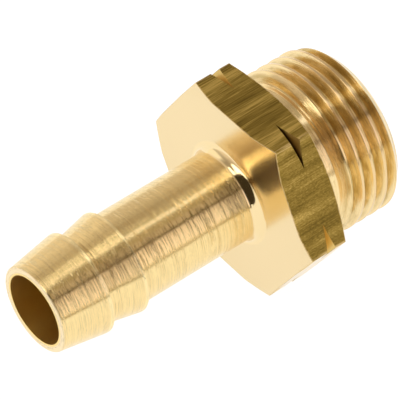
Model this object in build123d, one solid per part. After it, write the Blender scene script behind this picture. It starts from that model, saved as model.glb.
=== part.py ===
from build123d import *
import os
from math import radians, sqrt, tan

# Hose tail, one brass turning: barbed tube, nicked hexagon, relief, pipe thread.
# Millimetres. The turned axis is X, the thread points along +X, the hexagon
# lies on a flat with Z up, and the origin is on the axis at the seat face.

# --- Bore ---
BORE_D = 6.9                      # straight passage, end to end
BORE_EDGE = 0.3                   # bevel where the bore meets the threaded end

# --- Hexagon ---
ACROSS_FLATS = 19.0
HEX_WIDTH = 4.95                  # along the axis
HEX_CORNER_R = ACROSS_FLATS / sqrt(3)
FRONT_BEVEL_R = 9.84              # circle where the hose-side bevel starts
FRONT_BEVEL_ANGLE = 23.0          # from the face
SEAT_BEVEL_R = 9.22               # circle where the seat-side bevel starts
SEAT_BEVEL_ANGLE = 19.3
NICK_X = -2.24                    # middle of the corner nicks
NICK_DEPTH = 1.1                  # below the corners
NICK_ANGLE = 50.0                 # between the two sides of the V

# --- Barbed tube ---
TUBE_D = 8.9
TAIL_LENGTH = 22.05               # hexagon face to tip
ROOT_FILLET = 0.75                # tube into the hexagon face
BARB_D = 10.0                     # over the sharp ridges
BARB_SMALL_D = 8.46               # front of each cone
TIP_TO_RIDGE = 4.95               # first cone
RIDGE_SPACING = 3.85              # second cone
RIDGE_LAND = 0.08                 # narrow flat left along each ridge
TIP_ROUND = 0.18                  # outer edge of the tip

# --- Thread: G 3/8, left hand, 55 degree form ---
THREAD_D = 16.662
PITCH = 1.337
FLANK_ANGLE = 55.0
THREAD_DEPTH = 0.640327 * PITCH
CREST_WIDTH = PITCH / 6           # flat left on the crest and in the root
CREST_X = 2.487                   # a crest crosses -Y here
THREAD_END = 8.6                  # end face, from the seat face
END_BEVEL = 0.85                  # 45 degree lead at the end face

# --- Relief between the seat face and the thread ---
RELIEF_D = 14.5
RELIEF_WIDTH = 1.88               # flat bottom, then a 45 degree wall

# --- Derived positions ---
HEX_FACE_X = -HEX_WIDTH
TIP_X = HEX_FACE_X - TAIL_LENGTH
RIDGE1_X = TIP_X + TIP_TO_RIDGE
RIDGE2_X = RIDGE1_X + RIDGE_SPACING
NICK_R = HEX_CORNER_R - NICK_DEPTH
CLEAR = 1.0                       # how far cutting shapes stand proud


def turned(points):
    """Solid of revolution about X from (x, radius) points."""
    with BuildPart() as made:
        with BuildSketch(Plane.XZ):
            with BuildLine():
                Polyline(points, close=True)
            make_face()
        revolve(axis=Axis.X)
    return made.part


def barbed_tube():
    """Two sharp cones on a plain tube, blended into the hexagon face."""
    tube_r = TUBE_D / 2
    ridge_r = BARB_D / 2
    small_r = BARB_SMALL_D / 2
    fillet_x = HEX_FACE_X - ROOT_FILLET
    fillet_r = tube_r + ROOT_FILLET
    with BuildPart() as made:
        with BuildSketch(Plane.XZ):
            with BuildLine():
                Polyline(
                    (HEX_FACE_X, 0),
                    (TIP_X, 0),
                    (TIP_X, small_r),
                    (RIDGE1_X - RIDGE_LAND, ridge_r),
                    (RIDGE1_X, ridge_r),
                    (RIDGE1_X, small_r),
                    (RIDGE2_X - RIDGE_LAND, ridge_r),
                    (RIDGE2_X, ridge_r),
                    (RIDGE2_X, tube_r),
                    (fillet_x, tube_r),
                )
                CenterArc((fillet_x, fillet_r), ROOT_FILLET, -90, 90)
                Line((HEX_FACE_X, fillet_r), (HEX_FACE_X, 0))
            make_face()
        revolve(axis=Axis.X)
    tail = made.part
    rings = tail.edges().filter_by(GeomType.CIRCLE)
    tip = rings.filter_by(lambda e: abs(e.arc_center.X - TIP_X) < TIP_ROUND / 2)
    return fillet(tip, TIP_ROUND)


def hexagon():
    """The spanner hexagon, both faces bevelled, flats facing up and down."""
    with BuildPart() as made:
        with BuildSketch(Plane.YZ.offset(HEX_FACE_X)):
            RegularPolygon(HEX_CORNER_R, 6)
        extrude(amount=HEX_WIDTH)
    outer = HEX_CORNER_R + CLEAR
    front_rise = (outer - FRONT_BEVEL_R) * tan(radians(FRONT_BEVEL_ANGLE))
    seat_rise = (outer - SEAT_BEVEL_R) * tan(radians(SEAT_BEVEL_ANGLE))
    envelope = turned([
        (HEX_FACE_X, 0),
        (HEX_FACE_X, FRONT_BEVEL_R),
        (HEX_FACE_X + front_rise, outer),
        (-seat_rise, outer),
        (0, SEAT_BEVEL_R),
        (0, 0),
    ])
    return made.part & envelope


def corner_nicks():
    """V groove turned round the hexagon; only the corners are deep enough."""
    outer = HEX_CORNER_R + CLEAR
    half = (outer - NICK_R) * tan(radians(NICK_ANGLE / 2))
    return turned([
        (NICK_X, NICK_R),
        (NICK_X + half, outer),
        (NICK_X - half, outer),
    ])


def thread_blank():
    """Relief neck, its 45 degree wall, and the cylinder the thread is cut in."""
    major_r = THREAD_D / 2
    relief_r = RELIEF_D / 2
    wall = major_r - relief_r
    return turned([
        (0, 0),
        (0, relief_r),
        (RELIEF_WIDTH, relief_r),
        (RELIEF_WIDTH + wall, major_r),
        (THREAD_END - END_BEVEL, major_r),
        (THREAD_END, major_r - END_BEVEL),
        (THREAD_END, 0),
    ])


def thread_groove():
    """Left-hand helical V groove, from the relief out past the end face."""
    root_r = THREAD_D / 2 - THREAD_DEPTH
    top_r = THREAD_D / 2 + CLEAR
    half_root = CREST_WIDTH / 2
    half_top = half_root + (top_r - root_r) * tan(radians(FLANK_ANGLE / 2))
    start = CREST_X - PITCH
    turns = (THREAD_END + CLEAR - start) // PITCH + 1
    path = Helix(PITCH, turns * PITCH, root_r, lefthand=True)
    with BuildPart() as made:
        with BuildSketch(Plane.XZ):
            with BuildLine():
                Polyline(
                    (root_r, -half_root),
                    (top_r, -half_top),
                    (top_r, half_top),
                    (root_r, half_root),
                    close=True,
                )
            make_face()
        sweep(path=path, is_frenet=True)
    groove = Rot(Y=90) * made.part
    # the path starts on -Z, a quarter turn past -Y, midway between crests
    return Pos(start + PITCH / 4, 0, 0) * groove


def bore():
    """Straight passage with a small bevel at the threaded end."""
    bore_r = BORE_D / 2
    return turned([
        (TIP_X - CLEAR, 0),
        (TIP_X - CLEAR, bore_r),
        (THREAD_END - BORE_EDGE, bore_r),
        (THREAD_END + CLEAR, bore_r + BORE_EDGE + CLEAR),
        (THREAD_END + CLEAR, 0),
    ])


def hose_tail_body():
    """The whole turning."""
    threaded = thread_blank() - thread_groove()
    body = hexagon() - corner_nicks()
    body = body + threaded
    body = body + barbed_tube()
    return body - bore()


os.makedirs("parts", exist_ok=True)
body = hose_tail_body()
export_step(body, "parts/hose_tail_body.step")
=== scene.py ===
from math import cos, pi, radians, sin

import bpy
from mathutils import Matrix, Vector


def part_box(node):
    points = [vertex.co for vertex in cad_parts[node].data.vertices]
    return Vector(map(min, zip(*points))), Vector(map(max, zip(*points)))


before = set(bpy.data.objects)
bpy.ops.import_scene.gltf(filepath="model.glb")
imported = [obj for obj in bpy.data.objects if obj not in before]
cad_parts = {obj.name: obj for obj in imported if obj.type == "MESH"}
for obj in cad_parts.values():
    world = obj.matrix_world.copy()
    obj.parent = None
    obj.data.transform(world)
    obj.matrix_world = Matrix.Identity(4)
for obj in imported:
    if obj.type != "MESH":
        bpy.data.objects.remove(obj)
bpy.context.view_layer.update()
scene = bpy.context.scene
scene.view_settings.view_transform = "Standard"


# ---------------------------------------------------------------- camera
# A long lens looks down on the hose end from the front left, so the tube
# runs from the lower left of the frame to the thread at the upper right.
lens = bpy.data.cameras.new("camera")
lens.sensor_width = 36.0          # millimetres, as the focal length below
lens.lens = 340.3
lens.shift_x = 0.00998
lens.shift_y = -0.02473
lens.clip_start = 0.01
lens.clip_end = 20.0
camera = bpy.data.objects.new("camera", lens)
camera.location = (-0.154946, -0.172231, 0.250419)
camera.rotation_euler = (radians(42.392), radians(-0.771), radians(-39.467))
scene.collection.objects.link(camera)
scene.camera = camera


# ---------------------------------------------------------------- white sheet
# The fitting lies on one flat of its hexagon, on a white sheet that is lit
# from all round and partly from below, so hardly a shadow is left on it.
SHEET_WHITE = (0.20, 0.21, 0.23, 1)
SHEET_GLOW = 0.965
SHEET_HALF = 3.0                  # metres from the middle to an edge


def wire(socket, value):
    """Links a socket of the tree being built, or sets a plain value."""
    if isinstance(value, bpy.types.NodeSocket):
        tree.links.new(value, socket)
    else:
        socket.default_value = value


def add(kind, **inputs):
    """A node with its inputs set; underscores in a name stand for spaces."""
    node = tree.nodes.new("ShaderNode" + kind)
    for name, value in inputs.items():
        wire(node.inputs[name.replace("_", " ")], value)
    return node


sheet = bpy.data.materials.new("white_sheet")
sheet.use_nodes = True
tree = sheet.node_tree
tree.nodes.clear()
matt = add("BsdfDiffuse", Color=SHEET_WHITE)
glow = add("Emission", Color=(1, 1, 1, 1), Strength=SHEET_GLOW)
both = add("AddShader")
wire(both.inputs[0], matt.outputs[0])
wire(both.inputs[1], glow.outputs[0])
add("OutputMaterial", Surface=both.outputs[0])

rest_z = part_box("hose_tail_body")[0].z
corners = [(-1, -1), (1, -1), (1, 1), (-1, 1)]
floor_mesh = bpy.data.meshes.new("floor")
floor_mesh.from_pydata(
    [(x * SHEET_HALF, y * SHEET_HALF, rest_z) for x, y in corners], [], [(0, 1, 2, 3)]
)
floor_mesh.materials.append(sheet)
floor = bpy.data.objects.new("floor", floor_mesh)
scene.collection.objects.link(floor)


# ---------------------------------------------------------------- light tent
# A light tent: pale wall behind, warmer towards the roof, a narrow lamp along
# the roof, a rosy side screen in front on the thread's side, and the tent's
# dark opening on the hose's side, where the camera stands.
SCREEN_START = 0.725              # turn at which the wall gives way to it
BACK_LIGHT = (1.15, 1.10, 1.00, 1)
OPENING = (0.045, 0.034, 0.020, 1)
LAMP = (1.32, 1.30, 1.36, 1)
LAMP_CORE = (2.5, 2.45, 2.3, 1)


def calc(operation, *values):
    """One arithmetic step."""
    node = tree.nodes.new("ShaderNodeMath")
    node.operation = operation
    for socket, value in zip(node.inputs, values):
        wire(socket, value)
    return node.outputs[0]


def times(a, b):
    """Product of two values."""
    return calc("MULTIPLY", a, b)


def vector_calc(operation, *vectors, scale=None):
    """One vector step."""
    node = tree.nodes.new("ShaderNodeVectorMath")
    node.operation = operation
    for socket, value in zip(node.inputs, vectors):
        wire(socket, value)
    if scale is not None:
        wire(node.inputs["Scale"], scale)
    return node.outputs[0]


def fade(value, low, high, start=0.0, end=1.0):
    """Smooth step from start at low to end at high."""
    node = tree.nodes.new("ShaderNodeMapRange")
    node.interpolation_type = "SMOOTHSTEP"
    wire(node.inputs["Value"], value)
    for name, number in (
        ("From Min", low), ("From Max", high), ("To Min", start), ("To Max", end)
    ):
        wire(node.inputs[name], number)
    return node.outputs["Result"]


def mix(share, a, b):
    """Colour a turning into colour b."""
    node = tree.nodes.new("ShaderNodeMix")
    node.data_type = "RGBA"           # its colours are sockets 6, 7 and 2
    wire(node.inputs[0], share)
    wire(node.inputs[6], a)
    wire(node.inputs[7], b)
    return node.outputs[2]


def ramp(value, stops):
    """Colour ramp from (position, colour) stops."""
    node = tree.nodes.new("ShaderNodeValToRGB")
    wire(node.inputs[0], value)
    elements = node.color_ramp.elements
    for element, (place, colour) in zip(elements, (stops[0], stops[-1])):
        element.position, element.color = place, (*colour, 1)
    for place, colour in stops[1:-1]:
        elements.new(place).color = (*colour, 1)
    return node.outputs["Color"]


tent = bpy.data.worlds.new("light_tent")
scene.world = tent
tent.use_nodes = True
tree = tent.node_tree
tree.nodes.clear()

# a direction is told by its share along the axis, positive past the thread,
# and by its turn round the axis: 0 behind, 0.5 above, 1 in front
look = add("TexCoord")
along, across, up = add("SeparateXYZ", Vector=look.outputs["Generated"]).outputs
turn = calc("DIVIDE", calc("ARCTAN2", up, across), pi)

walls = ramp(turn, [
    (0.000, (0.86, 0.82, 0.80)),
    (0.030, (0.70, 0.63, 0.58)),
    (0.190, (0.63, 0.56, 0.50)),
    (0.260, (0.50, 0.44, 0.38)),
    (0.340, (0.42, 0.36, 0.30)),
    (0.420, (0.48, 0.42, 0.34)),
    (0.560, (0.50, 0.43, 0.33)),
    (0.600, (0.46, 0.38, 0.26)),
    (0.640, (0.60, 0.50, 0.42)),
    (0.690, (0.58, 0.49, 0.41)),
    (0.702, (0.24, 0.19, 0.15)),
    (0.722, (0.24, 0.19, 0.15)),
])
screen = ramp(turn, [
    (SCREEN_START, (0.44, 0.36, 0.31)),
    (0.745, (0.92, 0.80, 0.78)),
    (0.850, (1.16, 1.05, 1.08)),
    (0.930, (1.24, 1.13, 1.14)),
    (0.965, (1.08, 0.97, 0.86)),
    (0.978, (0.42, 0.33, 0.24)),
    (0.998, (0.60, 0.52, 0.40)),
])
cloth = mix(calc("GREATER_THAN", turn, SCREEN_START), walls, screen)

# the cloth is lit more over the hose and at its far end, less past the thread
over_hose = times(fade(along, 0.30, 0.12), fade(along, -0.22, -0.08))
beside_lamp = times(fade(turn, 0.42, 0.46), fade(turn, 0.56, 0.52, 0.0, -0.22))
hose_gain = calc("ADD", beside_lamp, fade(turn, 0.45, 0.75, 0.62, 0.45))
gain = calc("MULTIPLY_ADD", over_hose, hose_gain, 0.96)
past_thread = fade(along, 0.58, 0.72)
gain = calc("MULTIPLY_ADD", past_thread, fade(turn, 0.53, 0.58, 0.0, -0.48), gain)
past_hose = fade(along, -0.52, -0.70)
gain = calc("MULTIPLY_ADD", past_hose, fade(turn, 0.50, 0.42, 0.0, 0.35), gain)
light = vector_calc("SCALE", cloth, scale=gain)

# pale light low behind the hose, and the dark opening in front of it
behind_hose = times(fade(along, 0.05, -0.15), fade(along, -0.46, -0.36))
light = mix(times(behind_hose, fade(turn, 0.30, 0.20)), light, BACK_LIGHT)
in_front = times(fade(turn, 0.53, 0.56), fade(along, 0.06, -0.08))
light = mix(in_front, light, OPENING)

# the lamp is wider and hotter over the hose, and breaks off above the middle
lamp_middle = times(fade(along, -0.03, -0.11), fade(along, -0.42, -0.32))
lamp_end = fade(along, -0.56, -0.66)
lamp_edge = calc("MULTIPLY_ADD", lamp_middle, 0.06, turn)
lamp_edge = calc("MULTIPLY_ADD", lamp_end, 0.12, lamp_edge)
lamp_width = times(fade(lamp_edge, 0.457, 0.485), fade(turn, 0.540, 0.515))
lamp_gap = times(fade(along, -0.12, -0.05), fade(along, 0.42, 0.30))
lamp = times(lamp_width, calc("SUBTRACT", 1.0, lamp_gap))
hot = calc("ADD", lamp_middle, lamp_end)
light = mix(lamp, light, mix(hot, LAMP, LAMP_CORE))
back = add("Background", Color=light, Strength=1.0)
add("OutputWorld", Surface=back.outputs[0])


# ---------------------------------------------------------------- turned brass
# The fitting is one piece of brass, turned from hexagon bar. Where the tool
# has cut it is bright, with fine rings and hairlines that run round the axis.
MM = 1000.0
RING_RUN = 0.013                  # how little a ring changes on its way round
EDGE_EASE = 0.00005               # metres, radius left on a sharp edge

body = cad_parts["hose_tail_body"]
brass = bpy.data.materials.new("turned_brass")
brass.use_nodes = True
tree = brass.node_tree
tree.nodes.clear()


def noise(vector, scale, detail=2.0, rough=0.5):
    """Noise value, 0 to 1."""
    node = add("TexNoise", Vector=vector, Scale=scale, Detail=detail, Roughness=rough)
    return node.outputs["Fac"]


def stretched(x, y, z):
    """A vector from three values, to stretch a pattern by axis."""
    node = tree.nodes.new("ShaderNodeCombineXYZ")
    for socket, value in zip(node.inputs, (x, y, z)):
        wire(socket, value)
    return node.outputs[0]


def eased(size, samples):
    """Normal with the sharp edges eased by that radius in metres."""
    node = add("Bevel", Radius=size)
    node.samples = samples
    return node.outputs[0]


def bump(height, depth, normal, strength=1.0):
    """Normal roughened by a height pattern, depth in metres."""
    node = add("Bump", Strength=strength, Distance=depth, Height=height, Normal=normal)
    return node.outputs[0]


def lean(normal, amount):
    """Normal leaning towards the hose end."""
    leaned = vector_calc(
        "MULTIPLY_ADD", hose_way.outputs[0], stretched(amount, amount, amount), normal
    )
    return vector_calc("NORMALIZE", leaned)


def cut_brass(colour, rough, aniso, normal):
    """Brass left by the tool, its shine drawn out across the rings."""
    return add(
        "BsdfPrincipled", Base_Color=colour, Metallic=1.0, Roughness=rough,
        Anisotropic=aniso, Anisotropic_Rotation=0.25,
        Normal=normal, Tangent=round_axis.outputs[0],
    ).outputs[0]


def dull_brass(colour, rough, normal):
    """Brass with no clear direction in its shine."""
    return add(
        "BsdfPrincipled", Base_Color=colour, Metallic=1.0, Roughness=rough,
        Normal=normal,
    ).outputs[0]


def blend_shaders(share, a, b):
    """Shader a turning into shader b."""
    node = tree.nodes.new("ShaderNodeMixShader")
    for socket, value in zip(node.inputs, (share, a, b)):
        wire(socket, value)
    return node.outputs[0]


# place in millimetres: px along the axis from the seat face, negative towards
# the hose, pz up, and the radius from the axis
place = add("TexCoord")
in_mm = vector_calc("SCALE", place.outputs["Object"], scale=MM)
px, py, pz = add("SeparateXYZ", Vector=in_mm).outputs
radius = calc("SQRT", calc("MULTIPLY_ADD", py, py, times(pz, pz)))

round_axis = tree.nodes.new("ShaderNodeTangent")
round_axis.direction_type = "RADIAL"
round_axis.axis = "X"
hose_way = add("VectorTransform", Vector=(-1, 0, 0))
hose_way.vector_type = "NORMAL"
hose_way.convert_from = "OBJECT"
hose_way.convert_to = "WORLD"

# the marks change along the turned profile and hardly at all round it
profile = calc("MULTIPLY_ADD", radius, 1.3, px)
ring_space = stretched(profile, times(py, RING_RUN), times(pz, RING_RUN))
fine_rings = noise(ring_space, 4.2, 4.0, 0.75)
broad_rings = noise(ring_space, 0.9, 1.0)
hair_patches = noise(stretched(times(profile, 2.5), py, pz), 0.8, 3.0, 0.6)
hairs = fade(noise(ring_space, 10.0, 2.0, 0.6), 0.52, 0.64)
hairs = times(hairs, fade(hair_patches, 0.36, 0.56))
grain = noise(stretched(profile, times(py, 0.4), times(pz, 0.4)), 8.0, 2.0, 0.6)
rings = calc("MULTIPLY_ADD", broad_rings, 0.6, fine_rings)
rings = calc("MULTIPLY_ADD", hairs, -1.5, rings)
rings = calc("MULTIPLY_ADD", grain, 0.35, rings)
edges = eased(EDGE_EASE, 8)


# ---------------------------------------------------------------- barbed tube
# The hose is pushed over this tube and held by the ridges of its two cones.
# Here the lathe leaves its coarsest marks, with thin reddish hairlines, and
# the ridges and the outer end are rubbed bright; on the ridges this is also a
# painted highlight.
TUBE_DARK = (0.875, 0.665, 0.312, 1)
TUBE_PALE = (0.935, 0.722, 0.345, 1)
HAIR_RED = (0.62, 0.36, 0.17, 1)
RIDGE_RUBBED_AND_PAINTED_HIGHLIGHT = (1.0, 0.82, 0.44, 1)
TIP_BRIGHT = (0.93, 0.745, 0.44, 1)
RING_DEPTH = 0.000016             # metres
RIDGE_EDGE = (4.94, 4.97)         # mm from the axis, to the 10 mm ridges
BARBS_START = (-17.5, -17.9)      # mm along the axis, as are the next three
TIP_EDGE = (-26.90, -26.97)
FLARE_START = (-7.6, -5.75)
FLARE_END = (-5.0, -5.5)

shade = fade(calc("MULTIPLY_ADD", grain, 0.7, fine_rings), 0.70, 1.00)
tube_colour = mix(shade, TUBE_DARK, TUBE_PALE)
tube_colour = mix(times(hairs, 0.10), tube_colour, HAIR_RED)
ridge = times(fade(radius, *RIDGE_EDGE), fade(px, *BARBS_START))
# the ridges' rubbed bright band also stands in for their highlight, a painted highlight
tube_colour = mix(times(ridge, 0.7), tube_colour, RIDGE_RUBBED_AND_PAINTED_HIGHLIGHT)
tube_colour = mix(fade(px, *TIP_EDGE), tube_colour, TIP_BRIGHT)

# close to the hexagon the tube flares out very slightly
flare = times(fade(px, *FLARE_START), fade(px, *FLARE_END))
tube_normal = lean(bump(rings, RING_DEPTH, edges), times(flare, 0.14))
turned = cut_brass(tube_colour, 0.20, 0.95, tube_normal)


# ---------------------------------------------------------------- hexagon faces
# The spanner hexagon is faced flat on both sides with a light cut, and the
# front face runs softly into its bevel. A polished fillet joins it to the tube.
FACE_BRASS = (0.865, 0.683, 0.385, 1)
FILLET_BRASS = (0.90, 0.71, 0.39, 1)
FACE_MARK_DEPTH = 0.000007        # metres
BEVEL_EDGE = (9.78, 9.86)         # mm from the axis
BEVEL_LEAN = 4.0
FACE_FOOT = (5.12, 5.4)           # mm from the axis, where the fillet ends
HOSE_SIDE = (-3.9, -4.2)          # mm along the axis, as are the next three
FILLET_START = (-6.12, -5.72)
FILLET_END = (-5.1, -5.6)
TUBE_ROOT = (-5.86, -6.00)

face_marks = bump(noise(ring_space, 2.6), FACE_MARK_DEPTH, edges)
front = fade(px, *HOSE_SIDE)
bevel_rim = times(fade(radius, *BEVEL_EDGE), front)
faced = cut_brass(FACE_BRASS, 0.22, 0.8, lean(face_marks, times(bevel_rim, BEVEL_LEAN)))

fillet_lean = times(fade(px, *FILLET_START), fade(px, *FILLET_END, 0.0, 0.30))
fillet = cut_brass(FILLET_BRASS, 0.12, 0.5, lean(face_marks, fillet_lean))

skin = blend_shaders(fade(px, *TUBE_ROOT), fillet, turned)
skin = blend_shaders(times(fade(radius, *FACE_FOOT), front), skin, faced)


# ---------------------------------------------------------------- thread
# The male left-hand pipe thread and the relief behind it are cut smoother
# than the tube. The grooves are darker in blotches, and the tops of the
# crests are darkened with painted shade.
THREAD_BRASS = (0.92, 0.72, 0.38, 1)
GROOVE_DARK = (0.56, 0.40, 0.15, 1)
CREST_PAINTED_SHADE = (0.80, 0.57, 0.30, 1)
THREAD_HAIR = (0.45, 0.28, 0.12, 1)
THREAD_EASE = 0.00010             # metres, radius left on a crest's edge
THREAD_MARK_DEPTH = 0.00001
CREST_TOP = (8.30, 8.325)         # mm from the axis, as is the next
GROOVE_WALL = (8.25, 7.90)
SEAT_SIDE = (-0.9, -0.7)          # mm along the axis, as are the next four
RELIEF_END = (2.9, 2.2)
THREAD_START = (1.9, 2.5)
THREAD_END = (8.5, 8.3)
END_BEVEL = (8.0, 7.8)

blotch_space = stretched(times(px, 2.5), times(py, 0.3), times(pz, 0.3))
blotches = noise(blotch_space, 1.0, 3.0, 0.6)
threaded_length = times(fade(px, *THREAD_START), fade(px, *THREAD_END))
groove = times(fade(radius, *GROOVE_WALL), threaded_length)
# darker in blotches towards the bottom of the grooves
groove_darkening = times(groove, fade(blotches, 0.38, 0.60, 0.15, 0.9))
crest = times(fade(radius, *CREST_TOP), fade(px, *END_BEVEL))
thread_colour = mix(groove_darkening, THREAD_BRASS, GROOVE_DARK)
# painted shade on the tops of the crests
thread_colour = mix(times(crest, 0.7), thread_colour, CREST_PAINTED_SHADE)
thread_colour = mix(times(hairs, 0.15), thread_colour, THREAD_HAIR)

marks = times(rings, fade(px, *RELIEF_END, 0.35, 0.7))
thread_normal = bump(marks, THREAD_MARK_DEPTH, eased(THREAD_EASE, 12))
threaded = cut_brass(thread_colour, 0.17, 0.6, thread_normal)
skin = blend_shaders(fade(px, *SEAT_SIDE), skin, threaded)


# ---------------------------------------------------------------- corner nicks
# The V nicks cut across the hexagon's corners mark the left-hand thread.
# Painted shade makes them dark at the front corner, darkest deep in the V,
# and they stay bright at the lowest one.
NICK_BRIGHT = (0.80, 0.58, 0.20, 1)
NICK_PAINTED_SHADE = (0.13, 0.07, 0.015, 1)
NICK_WALL = (9.95, 10.35)         # mm from the axis
FACE_SIDE = (-4.1, -3.9)          # mm along the axis, as is the next
BACK_SIDE = (-0.7, -0.9)

# painted shade: darkest high up at the front and deep inside the V
nick_painted_shade = times(fade(pz, 3.0, 6.0), fade(py, 2.0, -2.0, 0.25, 1.0))
nick_painted_shade = times(nick_painted_shade, fade(radius, *NICK_WALL, 1.0, 0.42))
nicked = dull_brass(mix(nick_painted_shade, NICK_BRIGHT, NICK_PAINTED_SHADE), 0.45, edges)
between_faces = times(fade(px, *FACE_SIDE), fade(px, *BACK_SIDE))
skin = blend_shaders(between_faces, skin, nicked)


# ---------------------------------------------------------------- flats
# The six flats aren't machined. They keep the olive skin of the drawn bar,
# streaked along its length, with a thin bright burr where the bevels were cut;
# the burr's brightness is partly a painted highlight along those edges.
FLAT_SKIN = (9.455, 9.485)        # mm from the axis, to the flats at 9.5
FRONT_FACE_X = -4.95
FRONT_BEVEL = (9.84, 0.4245)      # radius where it starts, and its slope
SEAT_BEVEL = (9.22, 0.35)
CORNER_EDGE = (10.82, 10.92)      # mm from the axis
STREAK_DEPTH = 0.00002            # metres
BURR_WEAR_AND_PAINTED_HIGHLIGHT = (0.78, 0.58, 0.26, 1)


def to_flat(angle):
    """Distance from the axis, square to the pair of flats at that angle."""
    side = times(py, cos(radians(angle)))
    return calc("ABSOLUTE", calc("MULTIPLY_ADD", pz, sin(radians(angle)), side))


def bevel_rise(bevel):
    """How far a bevel has run back from its face at this radius."""
    start, slope = bevel
    return times(calc("MAXIMUM", calc("SUBTRACT", radius, start), 0.0), slope)


flat_reach = calc("MAXIMUM", to_flat(90), calc("MAXIMUM", to_flat(30), to_flat(150)))
flats = fade(flat_reach, *FLAT_SKIN)

# long streaks, and on the front flat a finer mesh of marks over them
fine_streaks = noise(stretched(times(px, 0.035), py, pz), 8.0, 3.0, 0.6)
broad_streaks = noise(stretched(times(px, 0.08), py, pz), 0.9)
mesh_marks = noise(stretched(times(px, 0.4), py, pz), 10.0, 3.0, 0.65)
meshy = fade(py, -4.0, -7.0, 0.15, 0.8)
flat_tone = times(fine_streaks, fade(py, -4.0, -7.0, 1.2, 0.55))
flat_tone = calc("MULTIPLY_ADD", mesh_marks, meshy, flat_tone)
flat_tone = calc("MULTIPLY_ADD", broad_streaks, 0.9, flat_tone)
flat_tone = calc("SUBTRACT", flat_tone, calc("MULTIPLY_ADD", meshy, 0.18, 0.12))
lower_front = times(fade(py, -6.0, -7.0), fade(pz, 7.0, 2.0, 0.0, 0.10))
flat_tone = calc("ADD", flat_tone, lower_front)
flat_colour = ramp(fade(flat_tone, 0.55, 1.30), [
    (0.0, (0.16, 0.105, 0.018)),
    (0.35, (0.27, 0.180, 0.033)),
    (0.7, (0.40, 0.275, 0.060)),
    (1.0, (0.66, 0.470, 0.130)),
])

# the burr, partly a painted highlight, is uneven along the edges, and the
# corners are rubbed in places
serrated = noise(stretched(times(px, 0.2), py, pz), 3.5, 2.0, 0.6)
from_front = calc("SUBTRACT", px, FRONT_FACE_X)
front_gap = calc("SUBTRACT", from_front, bevel_rise(FRONT_BEVEL))
seat_gap = calc("SUBTRACT", times(px, -1.0), bevel_rise(SEAT_BEVEL))
edge_gap = calc("MULTIPLY_ADD", serrated, 0.22, calc("MINIMUM", front_gap, seat_gap))
burr_and_painted_highlight = fade(edge_gap, 0.20, 0.15)
corner = times(fade(radius, *CORNER_EDGE), fade(fine_streaks, 0.42, 0.58))
flat_colour = mix(times(calc("MAXIMUM", burr_and_painted_highlight, corner), 0.8), flat_colour, BURR_WEAR_AND_PAINTED_HIGHLIGHT)

flat_height = calc("MULTIPLY_ADD", mesh_marks, 0.5, fine_streaks)
drawn = dull_brass(flat_colour, 0.5, bump(flat_height, STREAK_DEPTH, edges, 0.7))
sheen = add("LayerWeight", Blend=0.5)
drawn = blend_shaders(fade(sheen.outputs["Facing"], 0.80, 0.90), drawn, faced)
skin = blend_shaders(flats, skin, drawn)


# ---------------------------------------------------------------- bore
# The bore is drilled through from end to end. Its wall is duller and darker
# than the outside, and its colour is made warmer as a painted reflection of
# brass mirroring brass.
# brass colour with a painted warm reflection added
BORE_BRASS_PAINTED_WARMER = (0.93, 0.68, 0.23, 1)
BORE_MOUTH = (3.75, 3.5)          # mm from the axis, to the wall at 3.45

drilled = dull_brass(BORE_BRASS_PAINTED_WARMER, 0.35, face_marks)
skin = blend_shaders(fade(radius, *BORE_MOUTH), skin, drilled)
add("OutputMaterial", Surface=skin)
body.data.materials.clear()
body.data.materials.append(brass)
